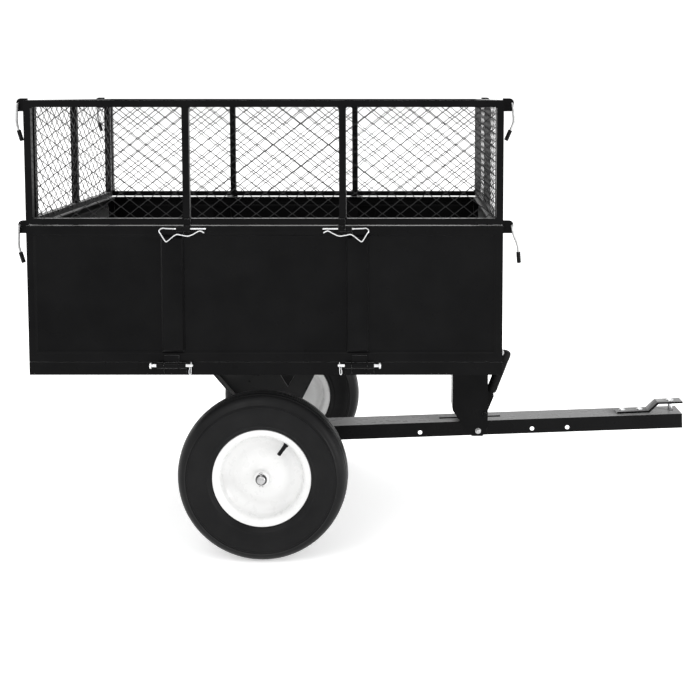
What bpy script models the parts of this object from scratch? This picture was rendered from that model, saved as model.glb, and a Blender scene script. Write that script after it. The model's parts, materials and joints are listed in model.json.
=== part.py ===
"""Tow-behind tipping cart: a steel box with fold-down sides and mesh extensions on two wheels.

The cart points along +X: its drawbar and hitch are at the +X end, +Y is its left and +Z is up.
The tyres stand on z = 0, and x = 0 is the middle of the overall length.
All sizes are in metres.
"""
import math

import bmesh
import bpy
from mathutils import Matrix, Vector

# ---------------------------------------------------------------- driving dimensions
AXLE_X = -0.2535
AXLE_Z = 0.200
AXLE_RADIUS = 0.010
WHEEL_OFFSET = 0.374
TYRE_RADIUS = 0.200
TYRE_WIDTH = 0.100
RIM_RADIUS = 0.115
RIM_HALF_WIDTH = 0.036
HUB_HALF_LENGTH = 0.042
BUSH_RADIUS = 0.0126
VALVE_FOOT = 0.0655
VALVE_OFFSET = 0.0265
WHEEL_STEPS = 28
COTTER_Y = WHEEL_OFFSET + HUB_HALF_LENGTH + 0.0035

BOX_LENGTH = 1.100
BOX_WIDTH = 0.780
BOX_CENTRE_X = AXLE_X + 0.010
FRAME_BOTTOM = 0.441
FRAME_TOP = 0.471
FRAME_RAIL = 0.030
FLOOR_SHEET = 0.002

PANEL_THICKNESS = 0.020
PANEL_BOTTOM = 0.472
PANEL_TOP = 0.790
SHEET = 0.002
MESH_BOTTOM = 0.7935
MESH_TOP = 1.079
MESH_TUBE = 0.016
MESH_FOOT = 0.0135
MESH_END_GAP = 0.0085
INFILL_SHEET = 0.002

HINGE_STANDOFF = 0.008
LOWER_HINGE_Z = 0.465
UPPER_HINGE_Z = 0.784
HINGE_PIN_RADIUS = 0.004
LOWER_BORE = 0.0048
LOCK_WIRE_RADIUS = 0.0022
UPPER_BORE = 0.0029
KNUCKLE_RADIUS = 0.0068

LOWER_PIN = (0.168, 0.268)
UPPER_PIN = (0.135, 0.237)
END_ROD_HALF = 0.262
BORE_REACH = 0.30
# Knuckle spans along each wall, mirrored about its middle.
LOWER_FRAME_KNUCKLES = ((0.184, 0.200), (0.236, 0.252))
LOWER_PANEL_KNUCKLES = ((0.2005, 0.2355),)
UPPER_PANEL_KNUCKLES = ((0.1865, 0.2020),)
UPPER_MESH_KNUCKLES = ((0.1700, 0.1860),)

HOOK_REACH = 0.026
HOOK_HEIGHT = 0.030
HOOK_SHEET = 0.004
HOOK_STEP = 0.0112
LATCH_WIRE = 0.0025
LATCH_OUT = 0.014
LATCH_DOWN = 0.013

BAR_WIDTH = 0.080
BAR_HEIGHT = 0.038
BAR_WALL = 0.003
BAR_REAR = -0.060
BAR_FRONT = 1.068
BAR_TOP_AT_AXLE = 0.2136
BAR_TOP_AT_FRONT = 0.252
BAR_SLOPE = math.atan2(BAR_TOP_AT_FRONT - BAR_TOP_AT_AXLE, BAR_FRONT)

TOWER_BOLT_X = 0.528
LEVER_PIVOT = (0.546, 0.252)
LEVER_LEAN = math.radians(21)
HITCH_PIN_X = 1.046

GAP = 0.0003

POWDER_BLACK = (0.012, 0.012, 0.013, 1.0)
GLOSS_WHITE = (0.80, 0.80, 0.79, 1.0)
TYRE_BLACK = (0.020, 0.020, 0.021, 1.0)
ZINC = (0.62, 0.63, 0.64, 1.0)
GRIP_BLACK = (0.010, 0.010, 0.010, 1.0)
NYLON_GREY = (0.06, 0.06, 0.065, 1.0)

# Each wall of the box: its name, its turn about Z, and how far its outer face is from the box centre.
WALLS = {
    "right": (0.0, BOX_WIDTH / 2, BOX_LENGTH),
    "left": (math.pi, BOX_WIDTH / 2, BOX_LENGTH),
    "rear": (-math.pi / 2, BOX_LENGTH / 2, BOX_WIDTH - 2 * PANEL_THICKNESS - 0.002),
    "front": (math.pi / 2, BOX_LENGTH / 2, BOX_WIDTH - 2 * PANEL_THICKNESS - 0.002),
}
LONG_WALLS = ("right", "left")
END_WALLS = ("rear", "front")


# ---------------------------------------------------------------- scene and helpers
def clear_scene():
    for obj in list(bpy.data.objects):
        bpy.data.objects.remove(obj, do_unlink=True)


def make_collection(name):
    coll = bpy.data.collections.new(name)
    bpy.context.scene.collection.children.link(coll)
    return coll


def make_material(name, colour, roughness, metallic):
    mat = bpy.data.materials.new(name)
    mat.use_nodes = True
    shader = mat.node_tree.nodes["Principled BSDF"]
    shader.inputs["Base Color"].default_value = colour
    shader.inputs["Roughness"].default_value = roughness
    shader.inputs["Metallic"].default_value = metallic
    return mat


def add_object(name, data, finish, coll=None):
    """Link new object data as one sub-part with its own material."""
    obj = bpy.data.objects.new(name, data)
    (coll or CART).objects.link(obj)
    colour, roughness, metallic = finish
    data.materials.append(make_material(name, colour, roughness, metallic))
    return obj


def mesh_from(bm, name):
    mesh = bpy.data.meshes.new(name)
    bm.to_mesh(mesh)
    bm.free()
    return mesh


def add_box_to(bm, low, high):
    """Add a box between two corners to a bmesh."""
    low = Vector(low)
    high = Vector(high)
    place = Matrix.Translation((low + high) / 2)
    size = Matrix.Diagonal((high - low)).to_4x4()
    bmesh.ops.create_cube(bm, size=1.0, matrix=place @ size)


AXIS_TURN = {
    "x": Matrix.Rotation(math.pi / 2, 4, "Y"),
    "y": Matrix.Rotation(math.pi / 2, 4, "X"),
    "z": Matrix.Identity(4),
}


def add_rod_to(bm, centre, radius, length, axis="x", segments=8):
    """Add a round rod, centred on a point, to a bmesh."""
    turn = Matrix.Translation(centre) @ AXIS_TURN[axis]
    bmesh.ops.create_cone(
        bm, cap_ends=True, segments=segments, radius1=radius, radius2=radius, depth=length, matrix=turn
    )


def mesh_object(name, bm, finish, coll=None):
    return add_object(name, mesh_from(bm, name), finish, coll)


def make_helper(name, bm, parent_matrix=None):
    """A cutter or an added volume for a Boolean, kept out of the model."""
    obj = bpy.data.objects.new(name, mesh_from(bm, name))
    CUTTERS.objects.link(obj)
    obj.hide_render = True
    obj.display_type = "WIRE"
    if parent_matrix is not None:
        obj.matrix_world = parent_matrix
    return obj


def boolean(obj, helper, operation):
    mod = obj.modifiers.new(operation.lower() + "_" + helper.name, "BOOLEAN")
    mod.operation = operation
    mod.solver = "EXACT"
    mod.use_self = operation == "UNION"
    mod.object = helper


def shade_round(obj):
    """Smooth shading that keeps edges over 35 degrees sharp."""
    obj.data.shade_smooth()
    obj.data.set_sharp_from_angle(angle=math.radians(35))


def turned(name, profile, finish, centre, steps=32, axis="Y"):
    """Turn a profile of (radius, distance along the axis) points about an axis through centre."""
    closed = profile[0][0] > 1e-6
    count = len(profile)
    area = 0.0
    for i in range(count):
        r0, a0 = profile[i]
        r1, a1 = profile[(i + 1) % count]
        area += r0 * a1 - r1 * a0
    points = list(profile) if area < 0 else list(reversed(profile))
    bm = bmesh.new()
    verts = []
    for radius, along in points:
        spot = (radius, along, 0) if axis == "Y" else (radius, 0, along)
        verts.append(bm.verts.new(spot))
    pairs = list(zip(verts, verts[1:]))
    if closed:
        pairs.append((verts[-1], verts[0]))
    for a, b in pairs:
        bm.edges.new((a, b))
    obj = mesh_object(name, bm, finish)
    obj.location = centre
    mod = obj.modifiers.new("turn", "SCREW")
    mod.axis = axis
    mod.angle = 2 * math.pi
    mod.steps = steps
    mod.render_steps = steps
    mod.use_merge_vertices = True
    mod.merge_threshold = 0.00002
    mod.use_smooth_shade = True
    return obj


def tube_curve(name, points, radius, resolution=1):
    """A wire or tube of round section along points, as a curve object's data."""
    curve = bpy.data.curves.new(name, "CURVE")
    curve.dimensions = "3D"
    curve.bevel_depth = radius
    curve.bevel_resolution = resolution
    curve.use_fill_caps = True
    spline = curve.splines.new("POLY")
    spline.points.add(len(points) - 1)
    for point, place in zip(spline.points, points):
        point.co = (*place, 1.0)
    return curve


def plate_curve(name, outlines, thickness):
    """A flat plate from closed outlines, the first the edge and the others its holes."""
    curve = bpy.data.curves.new(name, "CURVE")
    curve.dimensions = "2D"
    curve.fill_mode = "BOTH"
    curve.extrude = thickness / 2
    for outline in outlines:
        spline = curve.splines.new("POLY")
        spline.points.add(len(outline) - 1)
        for point, place in zip(spline.points, outline):
            point.co = (*place, 0.0, 1.0)
        spline.use_cyclic_u = True
    return curve


def curve_to_mesh(curve, name, transform=None):
    """Turn curve data into welded mesh data, so that it can be cut or joined."""
    temp = bpy.data.objects.new(name + "_curve", curve)
    bpy.context.scene.collection.objects.link(temp)
    bpy.context.view_layer.update()
    depsgraph = bpy.context.evaluated_depsgraph_get()
    mesh = bpy.data.meshes.new_from_object(temp.evaluated_get(depsgraph))
    bpy.data.objects.remove(temp, do_unlink=True)
    bm = bmesh.new()
    bm.from_mesh(mesh)
    bmesh.ops.remove_doubles(bm, verts=bm.verts, dist=0.00001)
    if transform is not None:
        bmesh.ops.transform(bm, matrix=transform, verts=bm.verts)
    bmesh.ops.recalc_face_normals(bm, faces=bm.faces)
    bm.to_mesh(mesh)
    bm.free()
    mesh.name = name
    mesh.materials.clear()
    return mesh


def rectangle(x0, z0, x1, z1):
    return [(x0, z0), (x1, z0), (x1, z1), (x0, z1)]


def arc(cx, cz, radius, start, end, steps):
    """Points along an arc in a plane, angles in degrees."""
    points = []
    for i in range(steps + 1):
        turn = math.radians(start + (end - start) * i / steps)
        points.append((cx + radius * math.cos(turn), cz + radius * math.sin(turn)))
    return points


# Turns a flat plate drawn in x and y so that it stands in the x and z plane.
UPRIGHT = Matrix.Rotation(math.pi / 2, 4, "X")


def upright_plate(name, outlines, thickness, mid_y):
    """Mesh data of a plate that stands in the XZ plane."""
    place = Matrix.Translation((0, mid_y, 0)) @ UPRIGHT
    return curve_to_mesh(plate_curve(name, outlines, thickness), name, place)


def merge_into(bm, mesh):
    """Add mesh data to a bmesh as a separate volume."""
    bm.from_mesh(mesh)
    bpy.data.meshes.remove(mesh)


# ---------------------------------------------------------------- drawbar and hitch
def bar_point(along, height):
    """World x and z of a point on the drawbar, from the axle and from the bar's top face."""
    x = AXLE_X + along * math.cos(BAR_SLOPE) - height * math.sin(BAR_SLOPE)
    z = BAR_TOP_AT_AXLE + along * math.sin(BAR_SLOPE) + height * math.cos(BAR_SLOPE)
    return x, z


def bar_matrix():
    place = Matrix.Translation((AXLE_X, 0, BAR_TOP_AT_AXLE))
    return place @ Matrix.Rotation(-BAR_SLOPE, 4, "Y")


def make_drawbar():
    """An upside-down U channel, cut for the axle, bolts, side holes, slot and hitch pin."""
    half = BAR_WIDTH / 2
    inner = half - BAR_WALL
    section = [
        (-half, -BAR_HEIGHT), (-half, 0), (half, 0), (half, -BAR_HEIGHT),
        (inner, -BAR_HEIGHT), (inner, -BAR_WALL), (-inner, -BAR_WALL), (-inner, -BAR_HEIGHT),
    ]
    length = BAR_FRONT - BAR_REAR
    lay = Matrix(((0, 0, 1, 0), (1, 0, 0, 0), (0, 1, 0, 0), (0, 0, 0, 1)))
    lay = Matrix.Translation(((BAR_FRONT + BAR_REAR) / 2, 0, 0)) @ lay
    mesh = curve_to_mesh(plate_curve("drawbar", [section], length), "drawbar", lay)
    bar = add_object("drawbar", mesh, BLACK)
    bar.matrix_world = bar_matrix()

    bm = bmesh.new()
    drop = AXLE_Z - BAR_TOP_AT_AXLE
    axle_spot = (drop * math.sin(BAR_SLOPE), 0, drop * math.cos(BAR_SLOPE))
    add_rod_to(bm, axle_spot, AXLE_RADIUS + 0.0005, 0.12, "y", 16)
    for along in (0.375, 0.671, 0.764):
        add_rod_to(bm, (along, 0, -0.026), 0.006, 0.12, "y")
    add_rod_to(bm, (TOWER_BOLT_X, 0, -0.026), 0.0055, 0.12, "y")
    add_box_to(bm, (0.428, -0.006, -0.01), (0.591, 0.006, 0.01))
    for along in (0.917, 0.964):
        add_rod_to(bm, (along, 0, 0), 0.0055, 0.02, "z")
    add_rod_to(bm, (HITCH_PIN_X, 0, 0), 0.0075, 0.02, "z", 12)
    boolean(bar, make_helper("drawbar_cuts", bm, bar_matrix()), "DIFFERENCE")


def make_hitch_plate():
    """A strap bolted on the bar and cranked up to hold the top of the hitch pin."""
    thick = 0.005
    low = GAP
    high = 0.022
    outline = [
        (0.900, low), (0.986, low), (1.011, high), (1.075, high),
        (1.075, high + thick), (1.008, high + thick), (0.983, low + thick), (0.900, low + thick),
    ]
    mesh = upright_plate("hitch_plate", [outline], 0.040, 0)
    plate = add_object("hitch_plate", mesh, BLACK)
    plate.matrix_world = bar_matrix()
    bm = bmesh.new()
    for along in (0.917, 0.964):
        add_rod_to(bm, (along, 0, 0), 0.0055, 0.03, "z")
    add_rod_to(bm, (HITCH_PIN_X, 0, high), 0.0075, 0.03, "z", 12)
    boolean(plate, make_helper("hitch_plate_cuts", bm, bar_matrix()), "DIFFERENCE")


def make_hitch_bolt(name, along):
    """Round-headed bolt down through the strap and the bar, with its nut under the bar's top wall."""
    seat = 0.005 + 2 * GAP
    nut_top = -BAR_WALL - GAP
    profile = [
        (0, seat + 0.0045), (0.005, seat + 0.0040), (0.0082, seat + 0.0018), (0.0090, seat),
        (0.005, seat), (0.005, nut_top), (0.0095, nut_top), (0.0095, nut_top - 0.008),
        (0.005, nut_top - 0.008), (0.005, -0.022), (0, -0.022),
    ]
    x, z = bar_point(along, 0)
    bolt = turned(name, profile[::-1], BRIGHT, (x, 0, z), 12, "Z")
    bolt.rotation_euler = (0, -BAR_SLOPE, 0)


def weld_volumes(obj):
    """Union a mesh's own overlapping volumes into one closed body."""
    bpy.context.view_layer.update()
    bm = bmesh.new()
    bm.from_mesh(obj.data)
    bm.verts.ensure_lookup_table()
    islands = []
    seen = set()
    for vert in bm.verts:
        if vert.index in seen:
            continue
        stack = [vert]
        island = set()
        while stack:
            item = stack.pop()
            if item.index in island:
                continue
            island.add(item.index)
            stack.extend(edge.other_vert(item) for edge in item.link_edges)
        seen |= island
        islands.append(island)
    bm.free()
    base = islands[0]
    for number, island in enumerate(islands[1:]):
        piece = bmesh.new()
        piece.from_mesh(obj.data)
        piece.verts.ensure_lookup_table()
        away = [v for v in piece.verts if v.index not in island]
        bmesh.ops.delete(piece, geom=away, context="VERTS")
        helper = make_helper(f"{obj.name}_volume_{number}", piece, obj.matrix_world.copy())
        boolean(obj, helper, "UNION")
    bm = bmesh.new()
    bm.from_mesh(obj.data)
    bm.verts.ensure_lookup_table()
    away = [v for v in bm.verts if v.index not in base]
    bmesh.ops.delete(bm, geom=away, context="VERTS")
    bm.to_mesh(obj.data)
    bm.free()


def make_hitch_pin():
    """A loose drop pin: a round shank with a low domed head that rests on the strap."""
    x, z = bar_point(HITCH_PIN_X, 0.027 + GAP)
    shank = 0.006
    length = 0.075
    profile = [
        (0, -length), (shank - 0.002, -length), (shank, -length + 0.003), (shank, 0.0),
        (0.0105, 0.0), (0.0100, 0.0025), (0.0060, 0.0050), (0, 0.0055),
    ]
    pin = turned("hitch_pin", profile, BRIGHT, (x, 0, z), 14, "Z")
    pin.rotation_euler = (0, -BAR_SLOPE, 0)


# ---------------------------------------------------------------- axle and wheels
def make_axle():
    length = 2 * (WHEEL_OFFSET + TYRE_WIDTH / 2)
    bm = bmesh.new()
    add_rod_to(bm, (0, 0, 0), AXLE_RADIUS, length, "y", 20)
    axle = mesh_object("axle", bm, BRIGHT)
    axle.location = (AXLE_X, 0, AXLE_Z)
    shade_round(axle)
    bm = bmesh.new()
    for side in (-1, 1):
        add_rod_to(bm, (0, side * COTTER_Y, 0), 0.0024, 0.03, "z", 10)
    helper = make_helper("axle_cross_holes", bm, Matrix.Translation((AXLE_X, 0, AXLE_Z)))
    boolean(axle, helper, "DIFFERENCE")


def make_cotter(name, side):
    """Split pin through the axle's end, which keeps the wheel on."""
    bm = bmesh.new()
    add_rod_to(bm, (0, 0, 0), 0.0019, 0.030, "z", 8)
    add_rod_to(bm, (0, 0, 0.0155), 0.0035, 0.003, "y", 10)
    cotter = mesh_object(name, bm, BRIGHT)
    cotter.location = (AXLE_X, side * COTTER_Y, AXLE_Z)
    weld_volumes(cotter)


def tyre_profile():
    """Rounded tyre section: bead, bulging sidewall, shoulder and slightly crowned tread."""
    half = TYRE_WIDTH / 2
    lip = RIM_RADIUS + 0.0010
    outer = [
        (RIM_RADIUS - 0.0142, 0.0235), (lip - 0.0005, 0.0292), (lip + 0.0005, 0.0365),
        (0.134, 0.0455), (0.156, half), (0.172, 0.0485),
        (0.1875, 0.0420), (0.1965, 0.0290), (TYRE_RADIUS, 0.0100),
    ]
    mirrored = [(r, -a) for r, a in reversed(outer)]
    return outer + mirrored


def rim_profile(side):
    """Pressed dished wheel centre and rim in one, with the hub tube through the middle."""
    half = RIM_HALF_WIDTH
    well = RIM_RADIUS - 0.016
    outer = [
        (BUSH_RADIUS + GAP, HUB_HALF_LENGTH), (0.0180, HUB_HALF_LENGTH), (0.0185, 0.026),
        (0.042, 0.013), (0.060, 0.009), (0.068, 0.003), (well - 0.003, 0.008),
        (well - 0.002, half - 0.006), (RIM_RADIUS, half - 0.001), (RIM_RADIUS, half - 0.005),
        (well + 0.001, half - 0.010),
    ]
    inner = [
        (well + 0.001, -half + 0.010), (RIM_RADIUS, -half + 0.005), (RIM_RADIUS, -half + 0.001),
        (well - 0.002, -half + 0.006), (well - 0.003, -0.002), (0.066, -0.001), (0.058, 0.005),
        (0.040, 0.009), (0.0185, 0.010), (0.0180, -HUB_HALF_LENGTH), (BUSH_RADIUS + GAP, -HUB_HALF_LENGTH),
    ]
    return [(r, side * a) for r, a in outer + inner]


def make_wheel(name, side):
    """Tyre, rim, bush and valve of one wheel; side is +1 on the left and -1 on the right."""
    centre = (AXLE_X, side * WHEEL_OFFSET, AXLE_Z)
    turned("tyre_" + name, tyre_profile(), RUBBER, centre, WHEEL_STEPS)
    turned("rim_" + name, rim_profile(side), WHITE, centre, WHEEL_STEPS)
    bush = [
        (AXLE_RADIUS + 0.0006, -HUB_HALF_LENGTH), (BUSH_RADIUS, -HUB_HALF_LENGTH),
        (BUSH_RADIUS, HUB_HALF_LENGTH), (AXLE_RADIUS + 0.0006, HUB_HALF_LENGTH),
    ]
    turned("hub_bush_" + name, bush, NYLON, centre, 16)
    valve = [(0, 0), (0.0035, 0), (0.0035, 0.021), (0.0025, 0.022), (0.0025, 0.030), (0, 0.030)]
    stem = turned("valve_stem_" + name, valve, RUBBER, centre, 10, "Z")
    lean = math.radians(36)
    out = Vector((math.sin(lean), 0, math.cos(lean)))
    foot = Vector(centre) + out * VALVE_FOOT + Vector((0, side * VALVE_OFFSET, 0))
    stem.location = foot
    stem.rotation_euler = (0, lean, 0)


# ---------------------------------------------------------------- tipping latch
def make_tower():
    """Upright channel over the drawbar that carries the bed's front and the tip lever."""
    base_x, base_z = bar_point(TOWER_BOLT_X, -0.026)
    x0 = AXLE_X + 0.461
    x1 = AXLE_X + 0.554
    top = FRAME_BOTTOM - GAP
    low = base_z - 0.014
    outline = [
        (x0, top), (x0, 0.262), (base_x - 0.024, low + 0.006), (base_x - 0.016, low),
        (base_x + 0.012, low), (x1, low + 0.022), (x1, top),
    ]
    inner = BAR_WIDTH / 2 + GAP
    sheet = 0.003
    bm = bmesh.new()
    for side in (-1, 1):
        merge_into(bm, upright_plate("cheek", [outline], sheet, side * (inner + sheet / 2)))
    add_box_to(bm, (x0, -inner - 0.001, top - sheet), (x1, inner + 0.001, top))
    add_box_to(bm, (x0, -inner - 0.001, 0.262), (x0 + sheet, inner + 0.001, top - 0.001))
    tower = mesh_object("latch_tower", bm, BLACK)
    weld_volumes(tower)
    bm = bmesh.new()
    add_rod_to(bm, (base_x, 0, base_z), 0.0055, 0.12, "y")
    pivot_x = AXLE_X + LEVER_PIVOT[0]
    add_rod_to(bm, (pivot_x, 0, LEVER_PIVOT[1]), 0.0045, 0.12, "y")
    boolean(tower, make_helper("tower_holes", bm), "DIFFERENCE")


def make_cross_bolt(name, x, z, radius, head):
    """Hex bolt across the tower, with its nut on the far side."""
    face = BAR_WIDTH / 2 + 0.003 + 2 * GAP
    bm = bmesh.new()
    add_rod_to(bm, (0, 0, 0), radius, 2 * face + 0.020, "y")
    add_rod_to(bm, (0, -face - 0.003, 0), head, 0.006, "y", 6)
    add_rod_to(bm, (0, face + 0.0035, 0), head, 0.007, "y", 6)
    bolt = mesh_object(name, bm, BRIGHT)
    bolt.location = (x, 0, z)
    weld_volumes(bolt)


def make_tip_lever():
    """Flat lever on its pivot tube, leaning forward, with a moulded grip on its upper half."""
    lean = Matrix.Rotation(LEVER_LEAN, 4, "Y")
    place = Matrix.Translation((AXLE_X + LEVER_PIVOT[0], 0, LEVER_PIVOT[1])) @ lean
    bm = bmesh.new()
    outline = [
        (-0.011, -0.006), (0.011, -0.006), (0.012, 0.044), (0.006, 0.056), (0.006, 0.150),
        (-0.006, 0.150), (-0.006, 0.056), (-0.012, 0.044),
    ]
    merge_into(bm, upright_plate("lever_bar", [outline], 0.006, 0))
    add_rod_to(bm, (0, 0, 0), 0.0100, 0.030, "y", 16)
    lever = mesh_object("tip_lever", bm, BLACK)
    lever.matrix_world = place
    weld_volumes(lever)
    bm = bmesh.new()
    add_rod_to(bm, (0, 0, 0), 0.0045, 0.12, "y")
    boolean(lever, make_helper("lever_bore", bm, place), "DIFFERENCE")

    foot = 0.047
    tip = 0.172
    profile = [
        (0, foot + 0.006), (0.0090, foot + 0.006), (0.0125, foot + 0.010), (0.0135, foot + 0.020),
        (0.0140, tip - 0.016), (0.0125, tip - 0.005), (0.0080, tip), (0, tip),
    ]
    grip = turned("lever_grip", profile, GRIP, (0, 0, 0), 14, "Z")
    grip.matrix_world = place
    bm = bmesh.new()
    half = 0.006 + GAP
    add_box_to(bm, (-half, -0.003 - GAP, 0.02), (half, 0.003 + GAP, 0.150 + GAP))
    add_box_to(bm, (-0.013, -0.003 - GAP, 0.02), (0.013, 0.003 + GAP, 0.057))
    helper = make_helper("grip_socket", bm, place)
    weld_volumes(helper)
    boolean(grip, helper, "DIFFERENCE")


# ---------------------------------------------------------------- bed
def wall_matrix(wall, hinge_z):
    """Frame of a wall's hinge: x along the wall, -y outward, origin on the hinge axis."""
    turn, reach, _ = WALLS[wall]
    spin = Matrix.Rotation(turn, 4, "Z")
    offset = spin @ Vector((0, -reach - HINGE_STANDOFF, 0))
    return Matrix.Translation((BOX_CENTRE_X + offset.x, offset.y, hinge_z)) @ spin


def mesh_length(wall):
    """Length of a mesh panel; the end ones stay inside the hook plates of the wall below."""
    length = WALLS[wall][2]
    if wall in END_WALLS:
        length -= 2 * MESH_END_GAP
    return length


def knuckle_volumes(bm, spans, leaf, root, place=None):
    """Knuckle barrels on a hinge axis, each on a leaf whose root is set into its own part's face.

    leaf and root are the lowest and highest z of the free part and of the rooted part.
    """
    parts = bmesh.new()
    for low, high in spans:
        for side in (-1, 1):
            middle = side * (low + high) / 2
            width = high - low
            add_rod_to(parts, (middle, 0, 0), KNUCKLE_RADIUS, width)
            x0 = middle - width / 2
            x1 = middle + width / 2
            add_box_to(parts, (x0, 0.003, leaf[0]), (x1, HINGE_STANDOFF - GAP, leaf[1]))
            add_box_to(parts, (x0 + GAP, 0.004, root[0]), (x1 - GAP, HINGE_STANDOFF + 0.001, root[1]))
    if place is not None:
        bmesh.ops.transform(parts, matrix=place, verts=parts.verts)
    mesh = mesh_from(parts, "knuckles")
    merge_into(bm, mesh)


def hinge_bore(bm, radius, place=None):
    """A long cutter for all the knuckles on one hinge axis."""
    parts = bmesh.new()
    add_rod_to(parts, (0, 0, 0), radius, 2 * BORE_REACH)
    if place is not None:
        bmesh.ops.transform(parts, matrix=place, verts=parts.verts)
    merge_into(bm, mesh_from(parts, "bore"))


def make_bed_frame():
    """Ladder frame under the floor, with the lower hinge knuckles on its outer faces."""
    x0 = BOX_CENTRE_X - BOX_LENGTH / 2
    x1 = BOX_CENTRE_X + BOX_LENGTH / 2
    y = BOX_WIDTH / 2
    inner = y - FRAME_RAIL
    cross = (AXLE_X - 0.208, AXLE_X + 0.133)
    holes = [
        (x0 + FRAME_RAIL, cross[0]), (cross[0] + FRAME_RAIL, cross[1] - FRAME_RAIL), (cross[1], x1 - FRAME_RAIL)
    ]
    outlines = [rectangle(x0, -y, x1, y)]
    for low, high in holes:
        outlines.append(rectangle(low, -inner, high, inner))
    height = FRAME_TOP - FRAME_BOTTOM
    middle = Matrix.Translation((0, 0, (FRAME_TOP + FRAME_BOTTOM) / 2))
    mesh = curve_to_mesh(plate_curve("bed_frame", outlines, height), "bed_frame", middle)
    frame = add_object("bed_frame", mesh, BLACK)
    bores = bmesh.new()
    for wall in WALLS:
        place = wall_matrix(wall, LOWER_HINGE_Z)
        bm = bmesh.new()
        foot = FRAME_BOTTOM - LOWER_HINGE_Z
        knuckle_volumes(bm, LOWER_FRAME_KNUCKLES, (foot + 0.004, -0.001), (foot + 0.005, -0.002), place)
        boolean(frame, make_helper("frame_knuckles_" + wall, bm), "UNION")
        hinge_bore(bores, LOWER_BORE, place)
    boolean(frame, make_helper("frame_bores", bores), "DIFFERENCE")


def make_bed_floor():
    gap = 0.001
    half_x = BOX_LENGTH / 2 - PANEL_THICKNESS - gap
    half_y = BOX_WIDTH / 2 - PANEL_THICKNESS - gap
    low = FRAME_TOP + GAP
    bm = bmesh.new()
    add_box_to(bm, (-half_x, -half_y, low), (half_x, half_y, low + FLOOR_SHEET))
    floor = mesh_object("bed_floor", bm, BLACK)
    floor.location = (BOX_CENTRE_X, 0, 0)


def make_tip_bracket(name, side):
    """Triangulated hanger between the bed and the axle, flanged along its rear edge."""
    top = FRAME_BOTTOM - GAP
    foot = 0.020
    edge = [(AXLE_X - 0.208, top), (AXLE_X - 0.208, top - 0.012)]
    edge += arc(AXLE_X, AXLE_Z, foot, 205, 375, 8)
    edge += [(AXLE_X + 0.133, top - 0.012), (AXLE_X + 0.133, top)]
    window = [(AXLE_X - 0.020, top - 0.026), (AXLE_X + 0.078, top - 0.026), (AXLE_X + 0.030, 0.332)]
    sheet = 0.004
    mid = side * 0.070
    bm = bmesh.new()
    merge_into(bm, upright_plate("web", [edge, window], sheet, mid))
    shelf = sorted((mid - side * 0.001, mid + side * 0.030))
    add_box_to(bm, (AXLE_X - 0.2075, shelf[0], top - 0.004), (AXLE_X + 0.1325, shelf[1], top - 0.0002))
    add_rod_to(bm, (AXLE_X, mid, AXLE_Z), 0.017, 0.016, "y", 16)
    flange_mesh = rear_flange(mid, side, top)
    merge_into(bm, flange_mesh)
    bracket = mesh_object(name, bm, BLACK)
    weld_volumes(bracket)
    bm = bmesh.new()
    add_rod_to(bm, (AXLE_X, mid, AXLE_Z), AXLE_RADIUS + 0.0005, 0.06, "y", 16)
    boolean(bracket, make_helper(name + "_bore", bm), "DIFFERENCE")
    move_origin(bracket, (AXLE_X, 0, AXLE_Z))


def rear_flange(mid, side, top):
    """Flange folded from the bracket's sloping rear edge."""
    start = Vector((AXLE_X - 0.2065, top - 0.014))
    end = Vector((AXLE_X - 0.026, AXLE_Z + 0.012))
    run = (end - start).normalized()
    normal = Vector((run.y, -run.x)) * 0.004
    outline = [start, end, end - normal, start - normal]
    outline = [tuple(point) for point in outline]
    return upright_plate("flange", [outline], 0.030, mid + side * 0.0145)


def move_origin(obj, point):
    """Put an object's origin at a world point without moving its mesh; for unturned objects."""
    point = Vector(point)
    obj.data.transform(Matrix.Translation(obj.location - point))
    obj.location = point


# ---------------------------------------------------------------- fold-down steel walls
def panel_relief(u, z, length, height, ribs):
    """How far the pressed sheet stands out of (+) or is sunk into (-) the flange plane."""
    side_flange = 0.015
    low_flange = 0.019
    high_flange = 0.020
    slope = 0.005
    depth = 0.005
    rib_half = 0.0275
    rib_rise = 0.009
    inward = min(length / 2 - abs(u) - side_flange, z - low_flange, height - high_flange - z)
    relief = -depth * min(max(inward / slope, 0.0), 1.0)
    for rib in ribs:
        beside = min(max((rib_half - abs(u - rib)) / slope, 0.0), 1.0)
        along = min(max((min(z - low_flange, height - high_flange - z) - 0.004) / slope, 0.0), 1.0)
        relief += rib_rise * beside * along
    return relief


def panel_breaks(length, height, ribs):
    """Grid lines that the pressed sheet needs."""
    half = length / 2
    us = {-half, half}
    for edge in (0.015, 0.020):
        us |= {-half + edge, half - edge}
    for rib in ribs:
        for offset in (-0.0275, -0.0225, 0.0225, 0.0275):
            us.add(rib + offset)
    zs = {0.0, 0.019, 0.023, 0.028, height - 0.029, height - 0.024, height - 0.020, height}
    return sorted(us), sorted(zs)


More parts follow.
